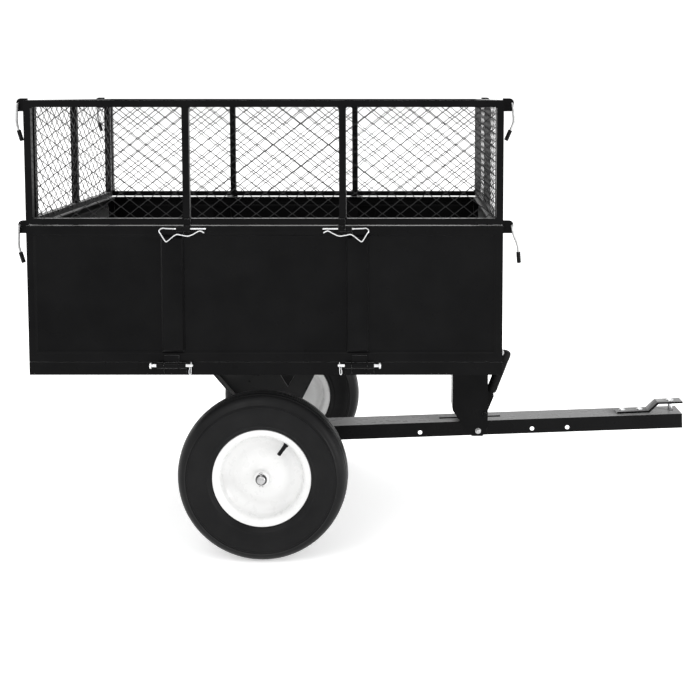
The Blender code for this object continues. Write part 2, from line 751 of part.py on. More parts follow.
def make_steel_panel(wall):
    """Pressed tray with turned-in edges, sunk field and upright ribs, on its two bottom hinges."""
    _, _, length = WALLS[wall]
    height = PANEL_TOP - PANEL_BOTTOM
    ribs = (-0.214, 0.214) if wall in LONG_WALLS else (0.0,)
    us, zs = panel_breaks(length, height, ribs)
    base_z = PANEL_BOTTOM - LOWER_HINGE_Z
    bm = bmesh.new()
    grid = []
    for u in us:
        column = []
        for z in zs:
            relief = panel_relief(u, z, length, height, ribs)
            column.append(bm.verts.new((u, HINGE_STANDOFF - relief, base_z + z)))
        grid.append(column)
    for i in range(len(us) - 1):
        for j in range(len(zs) - 1):
            bm.faces.new((grid[i][j], grid[i + 1][j], grid[i + 1][j + 1], grid[i][j + 1]))
    rim = [e for e in bm.edges if e.is_boundary]
    grown = bmesh.ops.extrude_edge_only(bm, edges=rim)
    lip = [v for v in grown["geom"] if isinstance(v, bmesh.types.BMVert)]
    bmesh.ops.translate(bm, verts=lip, vec=(0, PANEL_THICKNESS, 0))
    bmesh.ops.recalc_face_normals(bm, faces=bm.faces)
    outward = [f for f in bm.faces if abs(f.normal.y) > 0.9]
    if sum(f.normal.y for f in outward) > 0:
        bmesh.ops.reverse_faces(bm, faces=bm.faces)
    panel = mesh_object("panel_" + wall, bm, BLACK)
    place = wall_matrix(wall, LOWER_HINGE_Z)
    panel.matrix_world = place
    shell = panel.modifiers.new("sheet", "SOLIDIFY")
    shell.thickness = SHEET
    shell.offset = -1.0
    shell.use_even_offset = True

    bm = bmesh.new()
    knuckle_volumes(bm, LOWER_PANEL_KNUCKLES, (0.001, base_z + 0.016), (base_z + 0.001, base_z + 0.015))
    low = make_helper(f"panel_{wall}_low_knuckles", bm, place)
    boolean(panel, low, "UNION")
    rise = Matrix.Translation((0, 0, UPPER_HINGE_Z - LOWER_HINGE_Z))
    bm = bmesh.new()
    knuckle_volumes(bm, UPPER_PANEL_KNUCKLES, (-0.012, -0.001), (-0.011, -0.002), rise)
    high = make_helper(f"panel_{wall}_high_knuckles", bm, place)
    boolean(panel, high, "UNION")
    if wall in END_WALLS:
        bm = bmesh.new()
        add_hook_plates(bm, length, PANEL_TOP - LOWER_HINGE_Z + 0.010, HINGE_STANDOFF)
        boolean(panel, make_helper(f"panel_{wall}_hooks", bm, place), "UNION")
    bm = bmesh.new()
    hinge_bore(bm, LOWER_BORE)
    hinge_bore(bm, UPPER_BORE, rise)
    if wall in END_WALLS:
        add_hook_bores(bm, length, PANEL_TOP - LOWER_HINGE_Z + 0.010)
    boolean(panel, make_helper(f"panel_{wall}_bores", bm, place), "DIFFERENCE")


# ---------------------------------------------------------------- corner latches
def hook_face(length, side):
    """Position along an end wall of a hook plate's middle."""
    return side * (length / 2 - 0.006)


def add_hook_plates(bm, length, top, face_y):
    """Small plates that stand out of an end wall's upper corners and carry the wire latches."""
    for side in (-1, 1):
        along = hook_face(length, side)
        outline = [(-face_y - 0.0015, top - HOOK_HEIGHT), (-face_y + HOOK_REACH - 0.004, top - HOOK_HEIGHT)]
        outline += [(-face_y + HOOK_REACH, top - HOOK_HEIGHT + 0.005)]
        outline += arc(-face_y + HOOK_REACH - 0.010, top - 0.010, 0.010, 0, 90, 3)
        outline += [(-face_y + GAP, top), (-face_y + GAP, top - HOOK_STEP), (-face_y - 0.0015, top - HOOK_STEP)]
        mesh = upright_plate("hook", [outline], HOOK_SHEET, 0)
        turn = Matrix.Translation((along, 0, 0)) @ Matrix.Rotation(-math.pi / 2, 4, "Z")
        mesh.transform(turn)
        merge_into(bm, mesh)


def add_hook_bores(bm, length, top):
    for side in (-1, 1):
        add_rod_to(
            bm, (hook_face(length, side), -LATCH_OUT, top - LATCH_DOWN), LATCH_WIRE + 0.0006, 0.010, "x", 12
        )


def latch_route(side, bend):
    """Wire of a corner latch, from its pivot end to its lower tip, pivot at the origin."""
    tail = -0.010 * side
    reach = 0.0085 * side
    return [
        (tail, 0, 0), (reach - 0.002 * side, 0, 0), (reach, 0, -0.002), (reach, -0.001, -0.020),
        (reach, -0.002, -0.040), (reach, -0.003 - 0.3 * bend, -0.052), (reach, -0.003 - bend, -0.066),
    ]


def make_latch(name, wall_place, along, top, side, bend):
    """Wire latch on its hook plate, hanging, with a moulded grip on its lower end."""
    place = wall_place @ Matrix.Translation((along, -LATCH_OUT, top - LATCH_DOWN))
    route = latch_route(side, bend)
    wire = curve_to_mesh(tube_curve(name + "_wire", route, LATCH_WIRE, 0), name + "_wire")
    end = Vector(route[-1])
    run = (end - Vector(route[-2])).normalized()
    tip = end + run * 0.020
    start = end - run * 0.006
    grip = curve_to_mesh(
        tube_curve(name + "_grip", [start, tip], 0.005, 1), name + "_grip"
    )
    bm = bmesh.new()
    merge_into(bm, wire)
    merge_into(bm, grip)
    latch = mesh_object(name, bm, BRIGHT)
    latch.matrix_world = place
    weld_volumes(latch)


# ---------------------------------------------------------------- mesh extension panels
def make_mesh_frame(wall):
    """Square-tube frame of a mesh panel with its posts, on the hinges of the wall below."""
    length = mesh_length(wall)
    half = length / 2
    low = MESH_BOTTOM - UPPER_HINGE_Z
    high = MESH_TOP - UPPER_HINGE_Z
    post = MESH_TUBE
    posts = (-0.180, 0.180) if wall in LONG_WALLS else (0.0,)
    edges = [-half + post]
    for middle in posts:
        edges += [middle - post / 2, middle + post / 2]
    edges.append(half - post)
    outlines = [rectangle(-half, low, half, high)]
    for left, right in zip(edges[0::2], edges[1::2]):
        outlines.append(rectangle(left, low + MESH_FOOT, right, high - post))
    mid_y = HINGE_STANDOFF + MESH_TUBE / 2
    mesh = upright_plate("mesh_frame_" + wall, outlines, MESH_TUBE, mid_y)
    frame = add_object("mesh_frame_" + wall, mesh, BLACK)
    place = wall_matrix(wall, UPPER_HINGE_Z)
    frame.matrix_world = place
    bm = bmesh.new()
    knuckle_volumes(bm, UPPER_MESH_KNUCKLES, (0.001, low + 0.013), (low + 0.001, low + 0.012))
    boolean(frame, make_helper(f"mesh_{wall}_knuckles", bm, place), "UNION")
    bm = bmesh.new()
    hinge_bore(bm, UPPER_BORE)
    top = MESH_TOP - UPPER_HINGE_Z + 0.004
    if wall in END_WALLS:
        hooks = bmesh.new()
        add_hook_plates(hooks, length, top, HINGE_STANDOFF)
        boolean(frame, make_helper(f"mesh_{wall}_hooks", hooks, place), "UNION")
        add_hook_bores(bm, length, top)
    boolean(frame, make_helper(f"mesh_{wall}_bores", bm, place), "DIFFERENCE")


def make_mesh_infill(wall):
    """Thin sheet that fills a mesh frame from the inside, in place of its expanded mesh."""
    half = mesh_length(wall) / 2 - 0.007
    low = MESH_BOTTOM - UPPER_HINGE_Z + 0.007
    high = MESH_TOP - UPPER_HINGE_Z - 0.007
    face = HINGE_STANDOFF + MESH_TUBE + GAP
    bm = bmesh.new()
    add_box_to(bm, (-half, face, low), (half, face + INFILL_SHEET, high))
    infill = mesh_object("mesh_infill_" + wall, bm, BLACK)
    infill.matrix_world = wall_matrix(wall, UPPER_HINGE_Z)


# ---------------------------------------------------------------- hinge pins
def make_lower_pin(name, wall, side):
    """Headed pin through the bottom hinge of a long wall."""
    inner, outer = LOWER_PIN
    profile = [
        (0, inner), (0.004, inner), (HINGE_PIN_RADIUS, inner + 0.002), (HINGE_PIN_RADIUS, outer - 0.004),
        (0.008, outer - 0.004), (0.008, outer - 0.001), (0.007, outer), (0, outer),
    ]
    pin = turned(name, profile, BRIGHT, (0, 0, 0), 12, "Z")
    place = wall_matrix(wall, LOWER_HINGE_Z)
    pin.matrix_world = place @ Matrix.Rotation(side * math.pi / 2, 4, "Y")


def make_end_rod(wall):
    """Long rod through the bottom hinges of an end wall."""
    half = END_ROD_HALF
    profile = [
        (0, -half), (0.008, -half), (0.008, -half + 0.004), (HINGE_PIN_RADIUS, -half + 0.004),
        (HINGE_PIN_RADIUS, half - 0.002), (0.004, half), (0, half),
    ]
    rod = turned("hinge_rod_" + wall, profile, BRIGHT, (0, 0, 0), 12, "Z")
    rod.matrix_world = wall_matrix(wall, LOWER_HINGE_Z) @ Matrix.Rotation(math.pi / 2, 4, "Y")


def lock_wire_route(side):
    """One bent wire: its straight end is the hinge's pin, and its other end springs under that."""
    inner, outer = UPPER_PIN
    front = -0.0092
    run = [
        (inner, 0.0, 0.0), (outer - 0.006, 0.0, 0.0), (outer, -0.003, -0.001), (outer + 0.0034, -0.006, -0.004),
        (outer - 0.004, front, -0.016), (outer - 0.011, front, -0.027), (outer - 0.016, front, -0.0275),
        (outer - 0.035, front, -0.0125), (outer - 0.062, front, -0.0155), (inner + 0.014, front, -0.0045),
        (inner + 0.003, front, -0.0085),
    ]
    return [(side * x, y, z) for x, y, z in run]


def make_lock_pin(name, wall, side):
    """Spring-wire lock pin of an upper hinge, bent from one piece of wire."""
    curve = tube_curve(name, lock_wire_route(side), LOCK_WIRE_RADIUS, 1)
    pin = add_object(name, curve, BRIGHT)
    pin.matrix_world = wall_matrix(wall, UPPER_HINGE_Z)


# ---------------------------------------------------------------- assembly
def build():
    make_drawbar()
    make_hitch_plate()
    make_hitch_bolt("hitch_bolt_rear", 0.917)
    make_hitch_bolt("hitch_bolt_front", 0.964)
    make_hitch_pin()
    make_axle()
    for name, side in (("left", 1), ("right", -1)):
        make_cotter("cotter_" + name, side)
        make_wheel(name, side)
        make_tip_bracket("tip_bracket_" + name, side)
    make_tower()
    bolt_x, bolt_z = bar_point(TOWER_BOLT_X, -0.026)
    make_cross_bolt("tower_bolt", bolt_x, bolt_z, 0.005, 0.0095)
    make_cross_bolt("lever_pivot_bolt", AXLE_X + LEVER_PIVOT[0], LEVER_PIVOT[1], 0.004, 0.0075)
    make_tip_lever()
    make_bed_frame()
    make_bed_floor()
    for wall in WALLS:
        make_steel_panel(wall)
        make_mesh_frame(wall)
        make_mesh_infill(wall)
        for tag, side in (("a", -1), ("b", 1)):
            make_lock_pin(f"lock_pin_{wall}_{tag}", wall, side)
            if wall in LONG_WALLS:
                make_lower_pin(f"hinge_pin_{wall}_{tag}", wall, side)
    for wall in END_WALLS:
        make_end_rod(wall)
        low_place = wall_matrix(wall, LOWER_HINGE_Z)
        high_place = wall_matrix(wall, UPPER_HINGE_Z)
        steel_top = PANEL_TOP - LOWER_HINGE_Z + 0.010
        mesh_top = MESH_TOP - UPPER_HINGE_Z + 0.004
        low_bend, high_bend = (0.012, -0.010) if wall == "front" else (-0.006, -0.006)
        for tag, side in (("a", -1), ("b", 1)):
            low_spot = hook_face(WALLS[wall][2], side)
            high_spot = hook_face(mesh_length(wall), side)
            make_latch(f"latch_{wall}_low_{tag}", low_place, low_spot, steel_top, side, low_bend)
            make_latch(f"latch_{wall}_high_{tag}", high_place, high_spot, mesh_top, side, high_bend)


clear_scene()
CART = make_collection("tow_behind_cart")
CUTTERS = make_collection("cutters")
BLACK = (POWDER_BLACK, 0.45, 0.0)
WHITE = (GLOSS_WHITE, 0.30, 0.0)
RUBBER = (TYRE_BLACK, 0.75, 0.0)
BRIGHT = (ZINC, 0.30, 1.0)
GRIP = (GRIP_BLACK, 0.60, 0.0)
NYLON = (NYLON_GREY, 0.50, 0.0)
build()
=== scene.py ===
import json
import math

import bmesh
import bpy
from mathutils import Matrix, Vector


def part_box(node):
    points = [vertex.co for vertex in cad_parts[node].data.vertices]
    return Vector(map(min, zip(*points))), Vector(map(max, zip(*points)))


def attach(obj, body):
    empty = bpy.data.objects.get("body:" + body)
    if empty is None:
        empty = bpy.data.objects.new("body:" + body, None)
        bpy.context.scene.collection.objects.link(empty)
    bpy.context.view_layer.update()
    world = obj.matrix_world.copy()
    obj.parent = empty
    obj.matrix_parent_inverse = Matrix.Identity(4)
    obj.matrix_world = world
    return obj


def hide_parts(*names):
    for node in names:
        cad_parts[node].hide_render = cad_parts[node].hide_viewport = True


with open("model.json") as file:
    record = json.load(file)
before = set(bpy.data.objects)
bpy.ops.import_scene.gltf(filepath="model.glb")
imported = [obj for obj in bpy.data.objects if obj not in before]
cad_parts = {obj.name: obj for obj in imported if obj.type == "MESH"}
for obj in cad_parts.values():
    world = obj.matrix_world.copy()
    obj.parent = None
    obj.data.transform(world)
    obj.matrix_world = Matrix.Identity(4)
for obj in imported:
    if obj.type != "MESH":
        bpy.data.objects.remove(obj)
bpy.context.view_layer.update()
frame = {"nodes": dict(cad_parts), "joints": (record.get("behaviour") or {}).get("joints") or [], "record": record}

NODES = frame["nodes"]
JOINTS = {row["name"]: row for row in frame["joints"]}
BODIES = frame["record"]["behaviour"]["bodies"]
BODY_OF = {node: body for body, nodes in BODIES.items() for node in nodes}
WALLS = ("right", "left", "rear", "front")
END_WALLS = ("rear", "front")
SIDES = (("left", 1), ("right", -1))
PIN_TAGS = (("a", -1), ("b", 1))

# Camera, as the photograph's: level side view from a little above, framed with lens shift.
CAMERA_SPOT = (0.0662, -3.0634, 1.0916)
CAMERA_PITCH = math.radians(4.5)
CAMERA_LENS = 60.009
CAMERA_SHIFT = (-0.0699, -0.2337)

# Expanded mesh and its frames.
DIAMOND_LONG = 0.0416
MESH_ROWS = 17
STRAND_WIDTH = 0.0015
STRAND_THICK = 0.0011
STRAND_TWIST = 0.45
KNOT_HALF = 0.0019
KNOT_DROP = 0.0008
KNOT_TILT = 0.0005
FIELD_OFFSET = 0.0006
MESH_TUBE = 0.016
RAIL_TOP = 0.023
POST_SPOT = 0.180
FIELD_LAP = 0.007
BEAD_RADIUS = 0.0019
BEAD_REACH = (0.010, 0.022)
BEAD_INSET = 0.0006

# Hinges, lock pins and latches.
KNUCKLE_RADIUS = 0.0071
KNUCKLE_EDGE = 0.0008
LOWER_BORE = 0.0048
UPPER_BORE = 0.0029
LOCK_SHANK_RADIUS = 0.0021
LOCK_WIRE_RADIUS = 0.00145
LOCK_FRONT = -0.0092
LOCK_END_ROOM = 0.0056
PIN_RADIUS = 0.0040
PIN_HEAD_RADIUS = 0.0079
CLIP_WIRE_RADIUS = 0.0010
LATCH_WIRE_RADIUS = 0.0027
LATCH_TAIL = 0.010
LATCH_REACH = 0.0085
SLEEVE_LENGTH = 0.026
SLEEVE_LAP = 0.006

# Wheels and axle.
VALVE_LEAN = math.radians(36)
VALVE_FOOT = 0.0670
VALVE_OFFSET = 0.0275
AXLE_RADIUS = 0.0099
COTTER_WIRE_RADIUS = 0.0010
WASHER_GAP = 0.0024

# Drawbar, tower and brackets.
LEVER_LEAN = math.radians(21)
TOWER_FACE = 0.0433
BRACKET_SPOT = 0.0785
BRACKET_BEAD_GAP = 0.0055
BRACKET_BEAD_RING = 0.0178
BRACKET_BEAD_RADIUS = 0.0021
BRACKET_BEADS = 30

# Studio.
FLOOR_RADIUS = 40.0
WORLD_STRENGTH = 1.16
LIGHT_AIM = (0.0, 0.0, 0.5)
LIGHTS = (
    ("key", (-1.6, -2.8, 3.4), 2.6, 38), ("fill", (3.4, -1.9, 1.0), 1.4, 45),
    ("top", (0.2, 0.6, 3.6), 3.0, 34), ("rear", (0.6, 3.2, 2.6), 2.4, 20),
)


# ---------------------------------------------------------------- materials
def link(tree, source, target):
    tree.links.new(source, target)


def noise(tree, scale, detail=3.0, stretch=None, kind="noise"):
    """Noise over the piece's own coordinates, in metres."""
    coords = tree.nodes.new("ShaderNodeTexCoord")
    out = coords.outputs["Object"]
    if stretch:
        mapping = tree.nodes.new("ShaderNodeMapping")
        mapping.inputs["Scale"].default_value = stretch
        link(tree, out, mapping.inputs["Vector"])
        out = mapping.outputs["Vector"]
    if kind == "voronoi":
        node = tree.nodes.new("ShaderNodeTexVoronoi")
        node.inputs["Scale"].default_value = scale
        link(tree, out, node.inputs["Vector"])
        return node.outputs["Distance"]
    node = tree.nodes.new("ShaderNodeTexNoise")
    node.inputs["Scale"].default_value = scale
    node.inputs["Detail"].default_value = detail
    link(tree, out, node.inputs["Vector"])
    return node.outputs["Fac"]


def ramp(tree, value, stops):
    """Colour ramp over a value; stops are (place, colour or grey)."""
    node = tree.nodes.new("ShaderNodeValToRGB")
    elements = node.color_ramp.elements
    while len(elements) < len(stops):
        elements.new(0.5)
    for element, (place, colour) in zip(elements, stops):
        element.position = place
        if isinstance(colour, (int, float)):
            colour = (colour, colour, colour)
        element.color = (*colour, 1.0)
    link(tree, value, node.inputs["Fac"])
    return node.outputs["Color"]


def finish(name, colours, rough, metallic=0.0, specular=0.5, coat=0.0, sheen=0.0, glow=0.0, patch=14.0,
           bumps=(), stretch=None):
    """Surface of patchy colour and roughness, with a bump layer for each (scale, strength, depth, kind)."""
    material = bpy.data.materials.new(name)
    material.use_nodes = True
    tree = material.node_tree
    shader = tree.nodes["Principled BSDF"]
    shader.inputs["Metallic"].default_value = metallic
    shader.inputs["Specular IOR Level"].default_value = specular
    shader.inputs["Coat Weight"].default_value = coat
    shader.inputs["Coat Roughness"].default_value = 0.08
    shader.inputs["Sheen Weight"].default_value = sheen
    shader.inputs["Sheen Roughness"].default_value = 0.30
    shader.inputs["Emission Color"].default_value = (1.0, 1.0, 1.0, 1.0)
    shader.inputs["Emission Strength"].default_value = glow
    tint = ramp(tree, noise(tree, patch, 4.0), ((0.32, colours[0]), (0.68, colours[1])))
    link(tree, tint, shader.inputs["Base Color"])
    gloss = ramp(tree, noise(tree, patch * 2.6, 5.0, stretch), ((0.30, rough[0]), (0.70, rough[1])))
    link(tree, gloss, shader.inputs["Roughness"])
    last = None
    for scale, strength, depth, kind in bumps:
        bump = tree.nodes.new("ShaderNodeBump")
        bump.inputs["Strength"].default_value = strength
        bump.inputs["Distance"].default_value = depth
        link(tree, noise(tree, scale, 2.0, None, kind), bump.inputs["Height"])
        if last:
            link(tree, last.outputs["Normal"], bump.inputs["Normal"])
        last = bump
    if last:
        link(tree, last.outputs["Normal"], shader.inputs["Normal"])
    return material


def greys(dark, light, blue=0.0):
    """Two near-grey colours, with a trace of blue."""
    return (dark, dark, dark + blue), (light, light, light + blue)


COAT_BUMPS = ((520, 0.16, 0.0003, "noise"), (2100, 0.10, 0.0001, "noise"))
POWDER = finish("powder_coat", greys(0.0020, 0.0034, 0.0002), (0.26, 0.36), specular=0.055, sheen=0.25,
                bumps=COAT_BUMPS)
BAR_COAT = finish("bar_coat", greys(0.0022, 0.0036, 0.0002), (0.24, 0.34), specular=0.06, sheen=1.0,
                  bumps=COAT_BUMPS)
# Tip brackets: the same black powder coat painted about five times lighter, painted light that stands for the lit
# grey of their flanges.
BRACKET_COAT_PAINTED_LIGHT = finish("bracket_coat_painted_light", greys(0.010, 0.016, 0.0004), (0.26, 0.36), specular=0.30, sheen=0.80,
                      bumps=COAT_BUMPS)
MESH_COAT = finish("mesh_coat", greys(0.0040, 0.0075, 0.0003), (0.34, 0.48), specular=0.20, patch=60.0,
                   bumps=((900, 0.20, 0.0002, "noise"),))
WHITE = finish("rim_enamel", greys(0.65, 0.67, -0.005), (0.24, 0.34), specular=0.45, coat=0.35, patch=20.0,
               bumps=((420, 0.05, 0.0002, "noise"),))
RUBBER = finish("tyre_rubber", greys(0.0036, 0.0062, 0.0003), (0.34, 0.46), specular=0.12, patch=18.0,
                bumps=((260, 0.16, 0.0004, "noise"), (1500, 0.22, 0.0002, "voronoi")))
ZINC = finish("zinc_plate", ((0.60, 0.61, 0.63), (0.74, 0.74, 0.73)), (0.20, 0.38), metallic=1.0, patch=110.0,
              bumps=((1500, 0.10, 0.0001, "noise"),), stretch=(1, 1, 6))
DULL_ZINC = finish("dull_zinc", greys(0.34, 0.50), (0.34, 0.55), metallic=1.0, patch=160.0,
                   bumps=((1200, 0.16, 0.0001, "noise"),))
GRIP = finish("moulded_grip", greys(0.0032, 0.0060, 0.0001), (0.46, 0.62), specular=0.10, patch=80.0,
              bumps=((1300, 0.30, 0.0002, "voronoi"),))
NYLON = finish("nylon_bush", greys(0.035, 0.065, 0.001), (0.42, 0.56), specular=0.4, patch=90.0,
               bumps=((800, 0.12, 0.0001, "noise"),))
FLOOR = finish("studio_floor", greys(0.86, 0.88), (0.80, 0.90), specular=0.1, glow=0.45, patch=0.7,
               bumps=((60, 0.03, 0.0005, "noise"),))


# ---------------------------------------------------------------- mesh helpers
def piece_from(bm, name, material, body, replaced=(), place=None, angle=35):
    """Make an object from a bmesh, give it a finish and let it ride on a body."""
    bmesh.ops.recalc_face_normals(bm, faces=bm.faces)
    mesh = bpy.data.meshes.new(name)
    bm.to_mesh(mesh)
    bm.free()
    mesh.materials.append(material)
    mesh.shade_smooth()
    mesh.set_sharp_from_angle(angle=math.radians(angle))
    piece = bpy.data.objects.new(name, mesh)
    bpy.context.scene.collection.objects.link(piece)
    if place is not None:
        piece.matrix_world = place
    bpy.context.view_layer.update()
    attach(piece, body)
    if replaced:
        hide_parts(*replaced)
    return piece


def lathe(bm, profile, place=None, steps=48, closed=False):
    """Turn a profile of (radius, height) about z; a radius of 0 is a pole."""
    place = place or Matrix.Identity(4)
    rings = []
    for radius, height in profile:
        if radius < 1e-7:
            rings.append([bm.verts.new(place @ Vector((0, 0, height)))])
            continue
        ring = []
        for step in range(steps):
            turn = 2 * math.pi * step / steps
            spot = Vector((radius * math.cos(turn), radius * math.sin(turn), height))
            ring.append(bm.verts.new(place @ spot))
        rings.append(ring)
    pairs = list(zip(rings[:-1], rings[1:]))
    if closed:
        pairs.append((rings[-1], rings[0]))
    for first, second in pairs:
        for step in range(steps):
            after = (step + 1) % steps
            if len(first) == 1 and len(second) == 1:
                continue
            if len(first) == 1:
                bm.faces.new((first[0], second[step], second[after]))
            elif len(second) == 1:
                bm.faces.new((first[step], second[0], first[after]))
            else:
                bm.faces.new((first[step], second[step], second[after], first[after]))


def smooth_route(points, per=7):
    """Catmull-Rom curve through the points."""
    points = [Vector(p) for p in points]
    padded = [2 * points[0] - points[1]] + points + [2 * points[-1] - points[-2]]
    route = []
    for i in range(1, len(padded) - 2):
        a, b, c, d = padded[i - 1:i + 3]
        for step in range(per):
            t = step / per
            route.append(0.5 * (2 * b + (c - a) * t + (2 * a - 5 * b + 4 * c - d) * t * t
                                + (3 * b - a - 3 * c + d) * t ** 3))
    route.append(points[-1])
    return route


def sweep(bm, points, radius, place=None, sides=10):
    """Round wire along a route, with domed ends."""
    place = place or Matrix.Identity(4)
    points = [Vector(p) for p in points]
    count = len(points)
    tangents = []
    for i in range(count):
        tangents.append((points[min(i + 1, count - 1)] - points[max(i - 1, 0)]).normalized())
    side = tangents[0].orthogonal().normalized()
    stations = [(points[0] - tangents[0] * radius * 0.7, tangents[0], 0.45)]
    stations += [(points[i], tangents[i], 1.0) for i in range(count)]
    stations.append((points[-1] + tangents[-1] * radius * 0.7, tangents[-1], 0.45))
    rings = []
    for spot, tangent, scale in stations:
        side = (side - tangent * side.dot(tangent)).normalized()
        across = tangent.cross(side)
        ring = []
        for step in range(sides):
            turn = 2 * math.pi * step / sides
            out = side * math.cos(turn) + across * math.sin(turn)
            ring.append(bm.verts.new(place @ (spot + out * radius * scale)))
        rings.append(ring)
    for first, second in zip(rings[:-1], rings[1:]):
        for step in range(sides):
            after = (step + 1) % sides
            bm.faces.new((first[step], first[after], second[after], second[step]))
    bm.faces.new(rings[0][::-1])
    bm.faces.new(rings[-1])


def ribs(start, count, pitch, crest, root, steps):
    """Ringed stretch of a profile: each groove falls, runs and rises at three steps past its start."""
    profile = []
    for i in range(count):
        z = start + i * pitch
        profile += [(crest, z), (root, z + steps[0]), (root, z + steps[1]), (crest, z + steps[2])]
    return profile


def ball(bm, spot, radius):
    matrix = Matrix.Translation(spot) @ Matrix.Diagonal((radius, radius, radius, 1))
    bmesh.ops.create_icosphere(bm, subdivisions=2, radius=1.0, matrix=matrix)


def weld_bead(bm, start, end, radius):
    """Row of overlapping ripples, as a weld leaves."""
    start = Vector(start)
    end = Vector(end)
    count = max(int((end - start).length / (radius * 0.9)), 2)
    for i in range(count):
        spot = start.lerp(end, (i + 0.5) / count)
        size = radius * (1.0 + 0.12 * math.sin(7.3 * i + 40 * start.x))
        ball(bm, spot, size)


def centre(node):
    low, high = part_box(node)
    return (Vector(low) + Vector(high)) / 2


def hinge_frame(joint):
    """Frame on a wall's hinge: x along the wall, -y outward, z up."""
    along = Vector(JOINTS[joint]["axis"])
    up = Vector((0, 0, 1))
    inward = up.cross(along)
    turn = Matrix((along, inward, up)).transposed().to_4x4()
    return Matrix.Translation(JOINTS[joint]["pos_m"]) @ turn


def local_box(node, place):
    """A node's box in a frame whose axes are along the world's."""
    low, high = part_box(node)
    back = place.inverted()
    first, second = back @ Vector(low), back @ Vector(high)
    return Vector(map(min, first, second)), Vector(map(max, first, second))


def axis_frame(spot, axis):
    """Frame with z along an axis."""
    turn = Vector((0, 0, 1)).rotation_difference(Vector(axis)).to_matrix().to_4x4()
    return Matrix.Translation(spot) @ turn


# ---------------------------------------------------------------- steelwork
def soften(node, width, material=POWDER, segments=2):
    """Copy of a CAD node with its sharp edges rounded, shown in its place."""
    bm = bmesh.new()
    bm.from_mesh(NODES[node].data)
    bmesh.ops.remove_doubles(bm, verts=bm.verts, dist=2e-5)
    bmesh.ops.dissolve_limit(bm, angle_limit=math.radians(1), verts=bm.verts, edges=bm.edges)
    mesh = bpy.data.meshes.new(node + "_coated")
    bm.to_mesh(mesh)
    bm.free()
    mesh.materials.clear()
    mesh.materials.append(material)
    mesh.shade_smooth()
    mesh.set_sharp_from_angle(angle=math.radians(35))
    piece = bpy.data.objects.new(node + "_coated", mesh)
    bpy.context.scene.collection.objects.link(piece)
    piece.matrix_world = NODES[node].matrix_world
    edge = piece.modifiers.new("edges", "BEVEL")
    edge.width = width
    edge.segments = segments
    edge.limit_method = "ANGLE"
    edge.angle_limit = math.radians(32)
    edge.use_clamp_overlap = True
    edge.harden_normals = True
    bpy.context.view_layer.update()
    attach(piece, BODY_OF[node])
    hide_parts(node)
    return piece


def recoat(node, material):
    """Give a CAD node that keeps its shape a better material."""
    for slot in NODES[node].material_slots:
        slot.material = material


def steelwork():
    """Painted steel parts, each with the edge rounding of its bend or cut."""
    soften("drawbar", 0.0028, BAR_COAT, 3)
    soften("hitch_plate", 0.0009, BAR_COAT)
    soften("latch_tower", 0.0012)
    soften("tip_lever", 0.0010)
    soften("bed_frame", 0.0022)
    for side, _ in SIDES:
        # The tip brackets take the lighter coat, whose extra lightness is painted light.
        soften("tip_bracket_" + side, 0.0009, BRACKET_COAT_PAINTED_LIGHT)
    for wall in WALLS:
        soften("panel_" + wall, 0.0007)
        soften("mesh_frame_" + wall, 0.0013)
    recoat("bed_floor", POWDER)


# ---------------------------------------------------------------- expanded mesh
def expanded_mesh(wall):
    """Expanded-metal field of one upper wall: zigzag strands that meet in doubled knots."""
    place = hinge_frame(f"gate_{wall}_fold")
    low, high = local_box("mesh_infill_" + wall, place)
    columns = 2 * round((high.x - low.x) / DIAMOND_LONG)
    step_x = (high.x - low.x) / columns
    step_z = (high.z - low.z) / MESH_ROWS
    middle = (low.y + high.y) / 2 + FIELD_OFFSET
    bm = bmesh.new()
    for row in range(MESH_ROWS):
        points = []
        for i in range(columns + 1):
            upper = (i + row) % 2 == 1
            z = low.z + step_z * (row + upper) + (-KNOT_DROP if upper else KNOT_DROP)
            y = middle + (-KNOT_TILT if upper else KNOT_TILT)
            x = low.x + step_x * i
            for offset in (-KNOT_HALF, KNOT_HALF):
                points.append(Vector((min(max(x + offset, low.x), high.x), y, z)))
        points = points[1:-1]
        rings = []
        for i, point in enumerate(points):
            run = points[min(i + 1, len(points) - 1)] - points[max(i - 1, 0)]
            run.y = 0
            run.normalize()
            across = Vector((-run.z, STRAND_TWIST, run.x)).normalized() * STRAND_WIDTH / 2
            deep = run.cross(across).normalized() * STRAND_THICK / 2
            rings.append([bm.verts.new(point + s * across + t * deep)
                          for s, t in ((-1, -1), (1, -1), (1, 1), (-1, 1))])
        for first, second in zip(rings[:-1], rings[1:]):
            for k in range(4):
                bm.faces.new((first[k], first[(k + 1) % 4], second[(k + 1) % 4], second[k]))
        bm.faces.new(rings[0][::-1])
        bm.faces.new(rings[-1])
    piece_from(bm, "expanded_mesh_" + wall, MESH_COAT, "gate_" + wall, ["mesh_infill_" + wall],
               place, 50)


def frame_welds(wall):
    """Weld beads in the inner corners of a mesh frame, where posts meet rails."""
    place = hinge_frame(f"gate_{wall}_fold")
    low, high = local_box("mesh_frame_" + wall, place)
    half = min(-low.x, high.x)
    posts = (0.0,) if wall in END_WALLS else (-POST_SPOT, POST_SPOT)
    spots = [(-half + MESH_TUBE, 1), (half - MESH_TUBE, -1)]
    for middle in posts:
        spots += [(middle - MESH_TUBE / 2, -1), (middle + MESH_TUBE / 2, 1)]
    rail_foot = local_box("mesh_infill_" + wall, place)[1].z + FIELD_LAP - MESH_TUBE
    bm = bmesh.new()
    for post, side in spots:
        x = post + side * BEAD_INSET
        for z in (RAIL_TOP + BEAD_INSET, rail_foot - BEAD_INSET):
            weld_bead(bm, (x, BEAD_REACH[0], z), (x, BEAD_REACH[1], z), BEAD_RADIUS)
    piece_from(bm, "frame_welds_" + wall, POWDER, "gate_" + wall, (), place, 60)


